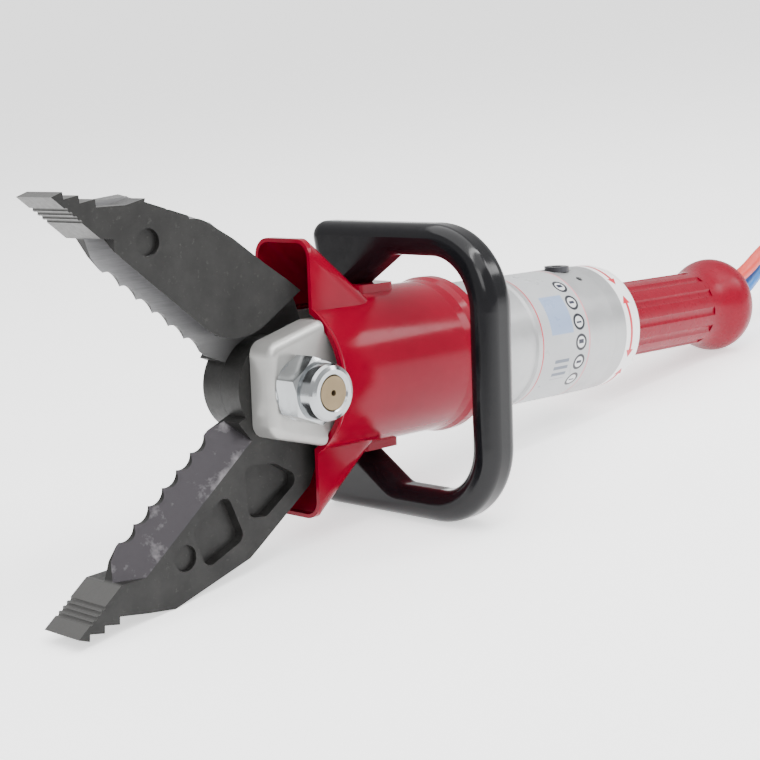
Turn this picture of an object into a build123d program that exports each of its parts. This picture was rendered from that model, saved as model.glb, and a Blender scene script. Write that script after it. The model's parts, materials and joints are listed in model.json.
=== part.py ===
from build123d import *
from math import asin, cos, degrees, radians, sin, sqrt, tan
import os

# Hydraulic combination rescue tool: a spreader-cutter with two bypass blades on one pivot bolt,
# a double-acting cylinder behind them, a carrying handle, and a twist grip at the rear.
# Tool frame, in millimetres: origin at the centre of the pivot bolt, +X towards the blade tips
# along the cylinder's axis, +Y towards the pivot nut, +Z up. The shear plane of the blades is Y = 0.
# The finished pieces are laid down as the tool rests on a floor: on the lower blade's back, the
# carrying handle and the flare at the rear of the grip.

# ---- driving dimensions -------------------------------------------------------------------------
OPEN_ANGLE = 38.5          # each blade's swing from closed to fully open
BLADE_HALF = 20.0          # from the shear plane to a blade's outer face
SHEAR_GAP = 0.1            # from the shear plane to each blade's shear face
TIP_REACH = 235.0          # from the pivot to the end of the tips
EDGE_LAP = 10.0            # how far each cutting edge passes the closing plane
HUB_RADIUS = 36.0
BOLT_RADIUS = 18.0
BUSH_RADIUS = 21.0
HEEL_RADIUS = 46.0         # from the pivot bolt to the heel pin
HEEL_ANGLE = 45.0          # of the heel pin behind the pivot, with the blades open
LINK_LENGTH = 64.0
PIN_RADIUS = 8.0
LINK_EYE = 15.0            # outer radius of the link's slotted eye
LINK_PLAY = 1.9            # radial play of that eye on the heel pin
CHEEK_INNER = 20.6
CHEEK_OUTER = 44.0
NUT_END = 80.0
GUARD_RADIUS = 59.7
GUARD_INNER = 57.0
GUARD_FRONT = -28.0
GUARD_REAR = -188.0
HOOD_HEIGHT = 104.0
HOOD_HALF = 30.0
BARREL_RADIUS = 54.4
BORE_RADIUS = 42.0
BARREL_FRONT = -164.0
HOUSING_FRONT = -250.0
HOUSING_REAR = -354.0
BAND_REAR = -392.8
GRIP_RADIUS = 33.5
FLARE_RADIUS = 43.5
GRIP_FRONT = -396.0
GRIP_REAR = -585.0
STEM_RADIUS = 18.0
HANDLE_X = -109.0
HANDLE_DEPTH = 30.0
HANDLE_BAR = 24.0
HANDLE_HALF_HEIGHT = 111.5
HANDLE_NEAR = 143.0
HANDLE_FAR = -46.0
HOSE_RADIUS = 6.5
RUN = 0.05                 # radial clearance of a running fit

# ---- how the tool lies on the floor -------------------------------------------------------------
TILT = 8.43                # nose-up tilt of the cylinder's axis
LAY_X = 190.45             # these three set the pivot over the floor, with the box centred
LAY_Y = -40.35
LAY_Z = 127.1
LAID_DOWN = Location((LAY_X, LAY_Y, LAY_Z), (0, -TILT, 0))

os.makedirs("parts", exist_ok=True)


def laid(solid):
    """The piece as it lies on the floor, with its label kept."""
    placed = LAID_DOWN * solid
    placed.label = solid.label
    return placed


def write(solid):
    """Writes one piece to its own file, named after its label."""
    export_step(laid(solid), f"parts/{solid.label}.step")


def across(y):
    """The plane at this Y that faces the far side; a sketch on it is drawn in X and Z."""
    return Plane(origin=(0, y, 0), x_dir=(1, 0, 0), z_dir=(0, -1, 0))


def station(x):
    """The plane at this X that faces forwards; a sketch on it is drawn in Y and Z."""
    return Plane(origin=(x, 0, 0), x_dir=(0, 1, 0), z_dir=(1, 0, 0))


def deck(z):
    """The plane at this Z that faces up; a sketch on it is drawn in X and Y."""
    return Plane.XY.offset(z)


def panel(plane, *points):
    """A flat face with straight sides through the given points."""
    with BuildSketch(plane) as face:
        with BuildLine():
            Polyline(*points, close=True)
        make_face()
    return face.sketch


def half_section(*points):
    """A profile in X and radius, to be turned about the cylinder's axis."""
    return panel(Plane.XZ, *points)


def tube_section(front, rear, inner, outer):
    """The half section of a plain ring or tube, or of a rod where inner is 0."""
    return half_section((front, inner), (front, outer), (rear, outer), (rear, inner))


def on_bolt(low, high, inner, outer):
    """The half section of a ring about the pivot bolt's axis, drawn in X and Y."""
    return panel(Plane.XY, (inner, low), (outer, low), (outer, high), (inner, high))


# ---- blade, drawn closed ------------------------------------------------------------------------
# One forging serves for both blades. Its cutting web, hub and heel lie on the far side of the
# shear plane, the tip is as wide as both blades together, and its near side is cut back so that
# the other blade's web can pass. The heel pin's place and the link's swing follow from the open pose.
HEEL_CLOSED = radians(180 - HEEL_ANGLE - OPEN_ANGLE)
HEEL = (HEEL_RADIUS * cos(HEEL_CLOSED), HEEL_RADIUS * sin(HEEL_CLOSED))
TIP_BACK = [(230, 8), (226.5, 4.5), (218.5, 13.5), (214.8, 9.7), (206.5, 19), (202.8, 15)]
WEB_BACK = [(186, 32.5), (169, 49), (101, 75), (64, 77.5), (27, 79), (4, 68), (-17, 54), (-20, 30)]
WEB_FRONT = [(36, -4), (56, -EDGE_LAP), (165, -EDGE_LAP), (176, -7), (187, 0.15)]
SIDE_BACK = [(184, 30), (173, 43.5), (170, 41), (165.8, 45.5), (157, 48.2), (154.8, 46.8), (147.3, 51.8),
             (138.4, 55), (134.8, 53), (126.4, 59), (95, 64), (60, 66), (20, 70)]
WALL_END = 179.0           # where the near side's slanted wall ends
BEVEL_END = [(169, 13.5), (187.3, 0.3)]
BEVEL_START = 43.0
BEVEL_RISE = 12.5          # the bevel's height over the closing plane at the outer face
WALL_TOP = 10.8            # the near side's height over the closing plane at the shear plane
SCALLOP_RADIUS = 10.5
SCALLOP_DEPTH = 4.1
SCALLOP_PLACES = [69.4 + 16.8 * i for i in range(6)]
SCALLOP_TILT = 84.0
GROOVE_PLACES = [207.5 + 4.5 * i for i in range(4)]
GROOVE_RADIUS = 1.5
POCKET_DEPTH = 7.0
DIMPLE_RADIUS = 9.5
DIMPLE_DEPTH = 3.5
DIMPLES = [(139.5, -BLADE_HALF, 29), (155, BLADE_HALF, 20)]
FORK_OUTER = 14.0          # the slot in the heel that holds the link
FORK_INNER = 5.5
# Each draft cuts the back down on the near side: start, end, drop.
BACK_DRAFTS = [((175, 46.7), (95, 77.3), 6.5), ((107, 75), (14, 79.4), 10.0)]

with BuildPart() as bevel_tool:
    extrude(panel(station(BEVEL_START), (0, -EDGE_LAP - 0.2), (-BLADE_HALF - 0.1, BEVEL_RISE),
                  (-BLADE_HALF - 0.1, -30), (0, -30)), amount=BEVEL_END[1][0] - BEVEL_START)
    # the bevel's slanted end towards the tip
    extrude(panel(across(BLADE_HALF), *BEVEL_END, (200, 0.3), (200, 40), (169, 40)),
            amount=3 * BLADE_HALF, mode=Mode.SUBTRACT)

with BuildPart() as blade:
    with BuildSketch(across(-SHEAR_GAP)):
        with BuildLine():
            Polyline((TIP_REACH, 0.15), *TIP_BACK, *WEB_BACK, (0, 0), *WEB_FRONT, close=True)
        make_face()
        Circle(HUB_RADIUS)
        with Locations(HEEL):
            Circle(PIN_RADIUS + 7)
    extrude(amount=BLADE_HALF - SHEAR_GAP)
    # the tip and the near side, cut back round the other blade's hub
    with BuildSketch(across(BLADE_HALF)):
        with BuildLine():
            Polyline((84, -1), (165, -1), (174, -0.6), (178.8, 6), (188.3, 0.15), (TIP_REACH, 0.15),
                     *TIP_BACK, *SIDE_BACK, (26, 54), (36.5, 26))
            ThreePointArc((36.5, 26), (52, 8.2), (84, -1))
        make_face()
    extrude(amount=BLADE_HALF + SHEAR_GAP)
    # the near side's slanted wall, clear of the other blade's bevel
    extrude(panel(station(38), (-SHEAR_GAP, -30), (-SHEAR_GAP, WALL_TOP), (BLADE_HALF + 0.1, -1.1),
                  (BLADE_HALF + 0.1, -30)), amount=WALL_END - 38, mode=Mode.SUBTRACT)
    add(bevel_tool.part, mode=Mode.SUBTRACT)
    # the back's draft
    for start, end, drop in BACK_DRAFTS:
        run = Vector(end[0] - start[0], 0, end[1] - start[1])
        draft = Plane(origin=(end[0], 0, end[1]), x_dir=(0, 1, 0), z_dir=-run.normalized())
        extrude(panel(draft, (-BLADE_HALF - 0.1, 0), (BLADE_HALF + 0.1, -drop), (BLADE_HALF + 0.1, 30),
                      (-BLADE_HALF - 0.1, 30)), amount=run.length, mode=Mode.SUBTRACT)
    # the edge's scallops, run out along the bevel
    with Locations([Location((u, 0, -EDGE_LAP + SCALLOP_DEPTH - SCALLOP_RADIUS), (SCALLOP_TILT, 0, 0))
                    for u in SCALLOP_PLACES]):
        Cylinder(SCALLOP_RADIUS, 60, mode=Mode.SUBTRACT)
    # grooves across the gripping face
    with Locations([Location((u, 0, 0), (90, 0, 0)) for u in GROOVE_PLACES]):
        Cylinder(GROOVE_RADIUS, 3 * BLADE_HALF, mode=Mode.SUBTRACT)
    # relief pockets in the web and a round dimple in each face
    with BuildSketch(across(-BLADE_HALF + POCKET_DEPTH)) as pockets:
        with BuildLine():
            Polyline((85, 24), (95, 59), (131, 49), (122, 20), close=True)
        make_face()
        with BuildLine():
            Polyline((60, 22), (40, 41), (30, 66), (70, 63), (81, 52), close=True)
        make_face()
        fillet(pockets.vertices(), radius=6)
    extrude(amount=POCKET_DEPTH + 1, taper=-8, mode=Mode.SUBTRACT)
    with Locations([Location((u, y, v), (90, 0, 0)) for u, y, v in DIMPLES]):
        Cylinder(DIMPLE_RADIUS, 2 * DIMPLE_DEPTH, mode=Mode.SUBTRACT)
    # the heel's slot for the link
    with BuildSketch(across(-FORK_INNER)):
        with BuildLine():
            Polyline((3.5, 37), (-47.6, -13.5), (-80, -13.5), (-80, 68), (-3.9, 57), close=True)
        make_face()
        with Locations(HEEL):
            Circle(LINK_EYE + LINK_PLAY + 0.6)
    extrude(amount=FORK_OUTER - FORK_INNER, mode=Mode.SUBTRACT)
    # the bores for the pivot bush and the heel pin
    with Locations(Location((0, 0, 0), (90, 0, 0))):
        Cylinder(BUSH_RADIUS, 3 * BLADE_HALF, mode=Mode.SUBTRACT)
    with Locations(Location((HEEL[0], 0, HEEL[1]), (90, 0, 0))):
        Cylinder(PIN_RADIUS + RUN, 3 * BLADE_HALF, mode=Mode.SUBTRACT)

blade_upper = blade.part.rotate(Axis.Y, -OPEN_ANGLE)
blade_upper.label = "blade_upper"
write(blade_upper)

# the lower blade is the same forging turned over, and its hidden side is cut back further
with BuildPart() as lower_blade:
    add(blade.part)
    extrude(panel(across(BLADE_HALF + 1), (30, -30), (30, WALL_TOP), (173, WALL_TOP), (188.3, 0.15),
                  (188.3, -30)), amount=BLADE_HALF + 1 + SHEAR_GAP, mode=Mode.SUBTRACT)
blade_lower = lower_blade.part.rotate(Axis.Y, -OPEN_ANGLE).rotate(Axis.X, 180)
blade_lower.label = "blade_lower"
write(blade_lower)

# ---- pivot: bushes, thrust washers, bolt, washer and nut ----------------------------------------
with BuildPart() as hub_bush_upper:
    revolve(on_bolt(-BLADE_HALF + 0.2, -0.3, BOLT_RADIUS + RUN, BUSH_RADIUS), axis=Axis.Y)
hub_bush_upper.part.label = "hub_bush_upper"
write(hub_bush_upper.part)

with BuildPart() as hub_bush_lower:
    revolve(on_bolt(0.3, BLADE_HALF - 0.2, BOLT_RADIUS + RUN, BUSH_RADIUS), axis=Axis.Y)
hub_bush_lower.part.label = "hub_bush_lower"
write(hub_bush_lower.part)

with BuildPart() as thrust_washers:
    revolve(on_bolt(BLADE_HALF + 0.05, CHEEK_INNER - 0.05, BOLT_RADIUS + 0.1, 24), axis=Axis.Y)
    mirror(about=Plane.XZ)
thrust_washers.part.label = "thrust_washers"
write(thrust_washers.part)

BOLT_HEAD_END = -31.6
BOLT_HEAD_BASE = -26.6
THREAD_RADIUS = 12.0
with BuildPart() as pivot_bolt:
    revolve(panel(Plane.XY, (0, BOLT_HEAD_END), (21.3, BOLT_HEAD_END), (22, BOLT_HEAD_END + 0.7),
                  (22, BOLT_HEAD_BASE), (BOLT_RADIUS, BOLT_HEAD_BASE), (BOLT_RADIUS, CHEEK_OUTER - 1),
                  (THREAD_RADIUS, CHEEK_OUTER - 1), (THREAD_RADIUS, NUT_END), (0, NUT_END)), axis=Axis.Y)
    # a hexagon socket in the head, and a small centre hole in the threaded end
    with BuildSketch(across(BOLT_HEAD_END + 12)):
        RegularPolygon(11, 6)
    extrude(amount=13, mode=Mode.SUBTRACT)
    with Locations(Location((0, NUT_END, 0), (90, 0, 0))):
        Cylinder(2.2, 12, mode=Mode.SUBTRACT)
pivot_bolt.part.label = "pivot_bolt"
write(pivot_bolt.part)

WASHER_THICKNESS = 1.6
with BuildPart() as pivot_washer:
    revolve(on_bolt(CHEEK_OUTER, CHEEK_OUTER + WASHER_THICKNESS, THREAD_RADIUS + 0.5, 22.5), axis=Axis.Y)
pivot_washer.part.label = "pivot_washer"
write(pivot_washer.part)

NUT_FLAT = 44.0
HEX_END = 66.0
COLLAR_RADIUS = 20.5
with BuildPart() as pivot_nut:
    with BuildSketch(across(HEX_END)):
        RegularPolygon(NUT_FLAT / 2, 6, major_radius=False, rotation=22)
    extrude(amount=HEX_END - CHEEK_OUTER - WASHER_THICKNESS)
    # the hexagon's corners are turned off at both ends, and the collar rounds in at its rim
    revolve(panel(Plane.XY, (0, CHEEK_OUTER), (23.2, CHEEK_OUTER + WASHER_THICKNESS),
                  (25.7, CHEEK_OUTER + 3.2),
                  (25.7, HEX_END - 2.4), (22, HEX_END), (0, HEX_END)), axis=Axis.Y, mode=Mode.INTERSECT)
    revolve(panel(Plane.XY, (0, HEX_END - 1), (COLLAR_RADIUS, HEX_END - 1), (COLLAR_RADIUS, NUT_END - 3.5),
                  (COLLAR_RADIUS - 1.2, NUT_END - 1), (COLLAR_RADIUS - 4, NUT_END + 0.5),
                  (THREAD_RADIUS + 1.5, NUT_END + 0.5), (THREAD_RADIUS, NUT_END - 1), (0, NUT_END - 1)),
            axis=Axis.Y)
    with Locations(Location((0, 60, 0), (90, 0, 0))):
        Cylinder(THREAD_RADIUS, 60, mode=Mode.SUBTRACT)
pivot_nut.part.label = "pivot_nut"
write(pivot_nut.part)

# ---- yoke: two cheeks on a round head with a spigot that holds the barrel ------------------------
HEAD_FRONT = -134.0
GLAND_RADIUS = 26.0
with BuildPart() as yoke:
    with BuildSketch(across(CHEEK_OUTER)) as cheek:
        with BuildLine():
            Polyline((25, 33), (-24, 46), (HEAD_FRONT - 5, 46), (HEAD_FRONT - 5, -46), (-24, -46),
                     (25, -33), close=True)
        make_face()
        fillet(cheek.vertices().group_by(Axis.X)[-1], radius=11)
    extrude(amount=CHEEK_OUTER - CHEEK_INNER)
    outer_rims = yoke.edges().filter_by(lambda e: abs(e.center().Y - CHEEK_OUTER) < 0.01)
    fillet(outer_rims.filter_by(lambda e: e.center().X > HEAD_FRONT), radius=7)
    # the far cheek is thinner, with a round nose and a counterbore for the bolt's head
    with BuildSketch(across(-CHEEK_INNER)):
        with BuildLine():
            Polyline((0, 27), (-24, 46), (HEAD_FRONT - 5, 46), (HEAD_FRONT - 5, -46), (-24, -46), (0, -27),
                     close=True)
        make_face()
        Circle(27)
    extrude(amount=-CHEEK_INNER - BOLT_HEAD_END)
    rims = yoke.edges().filter_by(lambda e: abs(e.center().Y - BOLT_HEAD_END) < 0.01)
    fillet(rims.filter_by(lambda e: e.center().X > HEAD_FRONT), radius=3)
    with Locations(Location((0, BOLT_HEAD_BASE, 0), (90, 0, 0))):
        Cylinder(22.3, 20, align=(Align.CENTER, Align.CENTER, Align.MIN), mode=Mode.SUBTRACT)
    # inside the guard the cheeks keep within a round outline
    with BuildSketch(station(GUARD_FRONT + 1.5)) as skirt:
        Rectangle(200, 200)
        Circle(GUARD_INNER - 0.8, mode=Mode.SUBTRACT)
    extrude(amount=-125, mode=Mode.SUBTRACT)
    with BuildSketch(station(HEAD_FRONT)):
        Circle(GUARD_INNER - 0.8)
    extrude(amount=BARREL_FRONT - HEAD_FRONT)
    with BuildSketch(station(BARREL_FRONT)):
        Circle(BORE_RADIUS)
    extrude(amount=-14)
    with Locations(Location((HEAD_FRONT, 0, 0), (0, 90, 0))):
        Cylinder(GLAND_RADIUS, 100, mode=Mode.SUBTRACT)
    with Locations(Location((0, 0, 0), (90, 0, 0))):
        Cylinder(BOLT_RADIUS + RUN, 100, mode=Mode.SUBTRACT)
yoke.part.label = "yoke"
write(yoke.part)

# ---- linkage: crosshead, links and pins, with the blades open -----------------------------------
HEEL_X = -HEEL_RADIUS * cos(radians(HEEL_ANGLE))
HEEL_Z = HEEL_RADIUS * sin(radians(HEEL_ANGLE))
LINK_ANGLE = degrees(asin(HEEL_Z / LINK_LENGTH))
CROSS_X = HEEL_X - sqrt(LINK_LENGTH ** 2 - HEEL_Z ** 2)
TONGUE_HALF = 5.25
TONGUE_RADIUS = 12.0
LINK_INNER = 5.75
LINK_OUTER = 13.75
ROD_RADIUS = 16.0

with BuildPart() as crosshead:
    with BuildSketch(across(TONGUE_HALF)):
        with Locations((CROSS_X, 0)):
            Circle(TONGUE_RADIUS)
        with Locations((CROSS_X - 10, 0)):
            Rectangle(20, 2 * TONGUE_RADIUS)
    extrude(amount=2 * TONGUE_HALF)
    revolve(half_section((CROSS_X - 16.5, 0), (CROSS_X - 16.5, 18), (CROSS_X - 18.5, 20),
                         (CROSS_X - 38, 20), (CROSS_X - 40, 18), (CROSS_X - 40, 0)), axis=Axis.X)
    with Locations(Location((CROSS_X, 0, 0), (90, 0, 0))):
        Cylinder(PIN_RADIUS + RUN, 40, mode=Mode.SUBTRACT)
    with Locations(Location((CROSS_X - 40, 0, 0), (0, 90, 0))):
        Cylinder(ROD_RADIUS - 3, 40, mode=Mode.SUBTRACT)
crosshead.part.label = "crosshead"
write(crosshead.part)

CROSS_PIN_HALF = 17.0
with BuildPart() as crosshead_pin:
    with Locations(Location((CROSS_X, 0, 0), (90, 0, 0))):
        Cylinder(PIN_RADIUS, 2 * CROSS_PIN_HALF)
    chamfer(crosshead_pin.edges().filter_by(GeomType.CIRCLE), length=0.8)
    # two grooves for the retaining rings
    for groove_y in (LINK_OUTER + 0.3, -LINK_OUTER - 1.5):
        with BuildSketch(across(groove_y + 1.2)):
            with Locations((CROSS_X, 0)):
                Circle(PIN_RADIUS + 1)
                Circle(PIN_RADIUS - 1, mode=Mode.SUBTRACT)
        extrude(amount=1.2, mode=Mode.SUBTRACT)
crosshead_pin.part.label = "crosshead_pin"
write(crosshead_pin.part)

with BuildPart() as pin_rings:
    for ring_y in (LINK_OUTER + 0.35, -LINK_OUTER - 1.45):
        with BuildSketch(across(ring_y + 1.1)):
            with Locations((CROSS_X, 0)):
                Circle(PIN_RADIUS + 2)
                Circle(PIN_RADIUS - 0.95, mode=Mode.SUBTRACT)
        extrude(amount=1.1)
pin_rings.part.label = "pin_rings"
write(pin_rings.part)

with BuildPart() as link:
    with BuildSketch(across(-LINK_INNER)):
        SlotCenterToCenter(LINK_LENGTH, 17)
        with Locations((-LINK_LENGTH / 2, 0)):
            Circle(12.5)
        with Locations((LINK_LENGTH / 2, 0)):
            Circle(LINK_EYE)
            Circle(PIN_RADIUS + LINK_PLAY, mode=Mode.SUBTRACT)
        with Locations((-LINK_LENGTH / 2, 0)):
            Circle(PIN_RADIUS + RUN, mode=Mode.SUBTRACT)
    extrude(amount=LINK_OUTER - LINK_INNER)
    chamfer(link.edges().filter_by(GeomType.CIRCLE).filter_by(lambda e: e.radius > 11), length=0.6)
link_upper = link.part.translate((LINK_LENGTH / 2, 0, 0)).rotate(Axis.Y, -LINK_ANGLE)
link_upper = link_upper.translate((CROSS_X, 0, 0))
link_upper.label = "link_upper"
write(link_upper)
link_lower = link_upper.rotate(Axis.X, 180)
link_lower.label = "link_lower"
write(link_lower)

with BuildPart() as heel_pin:
    with Locations(Location((HEEL_X, -BLADE_HALF / 2 - 0.2, HEEL_Z), (90, 0, 0))):
        Cylinder(PIN_RADIUS, BLADE_HALF - 0.8)
    chamfer(heel_pin.edges().filter_by(GeomType.CIRCLE), length=0.6)
heel_pin_upper = heel_pin.part
heel_pin_upper.label = "heel_pin_upper"
write(heel_pin_upper)
heel_pin_lower = heel_pin_upper.rotate(Axis.X, 180)
heel_pin_lower.label = "heel_pin_lower"
write(heel_pin_lower)

# ---- hydraulic cylinder: rod, gland, seals, piston, barrel --------------------------------------
PISTON_FRONT = -222.0
PISTON_REAR = -250.0
SPIGOT_RADIUS = 12.0
with BuildPart() as piston_rod:
    revolve(half_section((CROSS_X - 22, 0), (CROSS_X - 22, ROD_RADIUS - 3), (CROSS_X - 40, ROD_RADIUS - 3),
                         (CROSS_X - 40, ROD_RADIUS), (PISTON_FRONT, ROD_RADIUS),
                         (PISTON_FRONT, SPIGOT_RADIUS), (PISTON_REAR - 9, SPIGOT_RADIUS),
                         (PISTON_REAR - 10, SPIGOT_RADIUS - 1), (PISTON_REAR - 10, 0)), axis=Axis.X)
piston_rod.part.label = "piston_rod"
write(piston_rod.part)

SEAL_GROOVE = (-230.0, -242.0)
with BuildPart() as piston:
    revolve(half_section((PISTON_FRONT, SPIGOT_RADIUS), (PISTON_FRONT, BORE_RADIUS - RUN),
                         (SEAL_GROOVE[0], BORE_RADIUS - RUN), (SEAL_GROOVE[0], BORE_RADIUS - 5),
                         (SEAL_GROOVE[1], BORE_RADIUS - 5), (SEAL_GROOVE[1], BORE_RADIUS - RUN),
                         (PISTON_REAR, BORE_RADIUS - RUN), (PISTON_REAR, SPIGOT_RADIUS)), axis=Axis.X)
piston.part.label = "piston"
write(piston.part)

with BuildPart() as piston_seal:
    revolve(tube_section(SEAL_GROOVE[0], SEAL_GROOVE[1], BORE_RADIUS - 5, BORE_RADIUS - RUN), axis=Axis.X)
piston_seal.part.label = "piston_seal"
write(piston_seal.part)

with BuildPart() as piston_nut:
    with BuildSketch(station(PISTON_REAR - 8)):
        RegularPolygon(18, 6)
        Circle(SPIGOT_RADIUS, mode=Mode.SUBTRACT)
    extrude(amount=8)
piston_nut.part.label = "piston_nut"
write(piston_nut.part)

GLAND_FRONT = -136.0
GLAND_REAR = -182.0
GLAND_GROOVE = (-168.0, -175.0)
with BuildPart() as rod_gland:
    revolve(half_section((GLAND_FRONT, ROD_RADIUS + RUN), (GLAND_FRONT, GLAND_RADIUS),
                         (BARREL_FRONT - 14, GLAND_RADIUS), (BARREL_FRONT - 14, 36), (GLAND_REAR, 36),
                         (GLAND_REAR, ROD_RADIUS + RUN), (GLAND_GROOVE[1], ROD_RADIUS + RUN),
                         (GLAND_GROOVE[1], ROD_RADIUS + 4), (GLAND_GROOVE[0], ROD_RADIUS + 4),
                         (GLAND_GROOVE[0], ROD_RADIUS + RUN)), axis=Axis.X)
rod_gland.part.label = "rod_gland"
write(rod_gland.part)

with BuildPart() as rod_seal:
    revolve(tube_section(GLAND_GROOVE[0], GLAND_GROOVE[1], ROD_RADIUS + RUN, ROD_RADIUS + 4), axis=Axis.X)
rod_seal.part.label = "rod_seal"
write(rod_seal.part)

with BuildPart() as cylinder_barrel:
    revolve(half_section((BARREL_FRONT, BORE_RADIUS), (BARREL_FRONT, BARREL_RADIUS - 1.5),
                         (BARREL_FRONT - 1.5, BARREL_RADIUS), (HOUSING_FRONT + 3.6, BARREL_RADIUS),
                         (HOUSING_FRONT + 2, BARREL_RADIUS - 1.8), (HOUSING_FRONT, BARREL_RADIUS - 1.8),
                         (HOUSING_FRONT, BORE_RADIUS)), axis=Axis.X)
cylinder_barrel.part.label = "cylinder_barrel"
write(cylinder_barrel.part)

# ---- rear housing with the valve bore, its label, plugs and arrow band --------------------------
LABEL_FRONT = -258.5
LABEL_REAR = -320.0
LABEL_DEPTH = 0.8
CAVITY_REAR = -264.0
VALVE_BORE = 15.0
PLUG_X = -336.0
PLUG_RADIUS = 10.5
with BuildPart() as rear_housing:
    revolve(half_section((HOUSING_FRONT, BORE_RADIUS), (HOUSING_FRONT, BARREL_RADIUS - 1.8),
                         (HOUSING_FRONT - 2, BARREL_RADIUS - 1.8), (HOUSING_FRONT - 3.6, BARREL_RADIUS),
                         (LABEL_FRONT, BARREL_RADIUS), (LABEL_FRONT, BARREL_RADIUS - LABEL_DEPTH),
                         (LABEL_REAR, BARREL_RADIUS - LABEL_DEPTH), (LABEL_REAR, BARREL_RADIUS),
                         (HOUSING_REAR, BARREL_RADIUS), (HOUSING_REAR, 34), (-366, 34), (-366, VALVE_BORE),
                         (-290, VALVE_BORE), (-290, 0), (CAVITY_REAR, 0), (CAVITY_REAR, BORE_RADIUS)),
            axis=Axis.X)
    # flat and threaded port for the bleed plug, and the two grub screw holes
    with Locations(Location((PLUG_X, 6, BARREL_RADIUS), (0, 0, 0))):
        Cylinder(PLUG_RADIUS + 2, 3.2, mode=Mode.SUBTRACT)
        Cylinder(PLUG_RADIUS - 3, 20, mode=Mode.SUBTRACT)
    for angle in (-30, 60):
        with Locations(Plane(Location((-340, 0, 0), (angle, 0, 0))).offset(BARREL_RADIUS)):
            Cylinder(3, 14, mode=Mode.SUBTRACT)
rear_housing.part.label = "rear_housing"
write(rear_housing.part)

with BuildPart() as label_band:
    revolve(tube_section(LABEL_FRONT, LABEL_REAR, BARREL_RADIUS - LABEL_DEPTH, BARREL_RADIUS - 0.1),
            axis=Axis.X)
label_band.part.label = "label_band"
write(label_band.part)

with BuildPart() as bleed_plug:
    with Locations(Location((PLUG_X, 6, BARREL_RADIUS - 1.6), (0, 0, 0))):
        Cylinder(PLUG_RADIUS - 3, 8.4, align=(Align.CENTER, Align.CENTER, Align.MAX))
        Cylinder(PLUG_RADIUS, 4.5, align=(Align.CENTER, Align.CENTER, Align.MIN))
    with BuildSketch(deck(BARREL_RADIUS + 3)):
        with Locations((PLUG_X, 6)):
            RegularPolygon(5, 6)
    extrude(amount=-4, mode=Mode.SUBTRACT)
bleed_plug.part.label = "bleed_plug"
write(bleed_plug.part)

with BuildPart() as grub_screws:
    for angle in (-30, 60):
        with Locations(Plane(Location((-340, 0, 0), (angle, 0, 0))).offset(BARREL_RADIUS - 1.2)):
            Cylinder(3, 5.8, align=(Align.CENTER, Align.CENTER, Align.MAX))
grub_screws.part.label = "grub_screws"
write(grub_screws.part)

with BuildPart() as arrow_band:
    revolve(half_section((HOUSING_REAR - 0.05, 40), (HOUSING_REAR - 0.05, BARREL_RADIUS),
                         (BAND_REAR + 8, BARREL_RADIUS - 0.6), (BAND_REAR + 2, BARREL_RADIUS - 2),
                         (BAND_REAR, BARREL_RADIUS - 4), (BAND_REAR, 40)), axis=Axis.X)
arrow_band.part.label = "arrow_band"
write(arrow_band.part)

# ---- stem, valve disc, return spring, twist grip and rear cover ----------------------------------
STEM_FRONT = -300.0
STEM_REAR = -560.0
OIL_WAY_HIGH = 11.0
OIL_WAY_LOW = -5.0
OIL_WAY_RADIUS = 3.2
OIL_WAY_LENGTH = 165.0
with BuildPart() as stem:
    revolve(half_section((STEM_FRONT, 0), (STEM_FRONT, VALVE_BORE), (-366, VALVE_BORE), (-366, STEM_RADIUS),
                         (-390, STEM_RADIUS), (STEM_REAR, STEM_RADIUS), (STEM_REAR, 0)), axis=Axis.X)
    # the two oil ways, one to each hose
    for height in (OIL_WAY_HIGH, OIL_WAY_LOW):
        with Locations(Location((STEM_REAR, 0, height), (0, 90, 0))):
            Cylinder(OIL_WAY_RADIUS, OIL_WAY_LENGTH * 2, mode=Mode.SUBTRACT)
stem.part.label = "stem"
write(stem.part)

DISC_FRONT = -367.0
DISC_REAR = -385.0
with BuildPart() as valve_disc:
    revolve(tube_section(DISC_FRONT, DISC_REAR, STEM_RADIUS + RUN, 33), axis=Axis.X)
    with Locations(Location((DISC_FRONT, 0, 0), (0, 90, 0))):
        with PolarLocations(26, 4):
            Cylinder(2.5, 50, mode=Mode.SUBTRACT)
valve_disc.part.label = "valve_disc"
write(valve_disc.part)

SPRING_WIRE = 1.4
with BuildPart() as return_spring:
    with BuildLine() as spring_path:
        Helix(pitch=4.2, height=29.4, radius=22.5, center=(-401, 0, 0), direction=(-1, 0, 0))
    with BuildSketch(spring_path.line ^ 0):
        Circle(SPRING_WIRE)
    sweep(path=spring_path.line, is_frenet=True)
return_spring.part.label = "return_spring"
write(return_spring.part)

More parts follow.
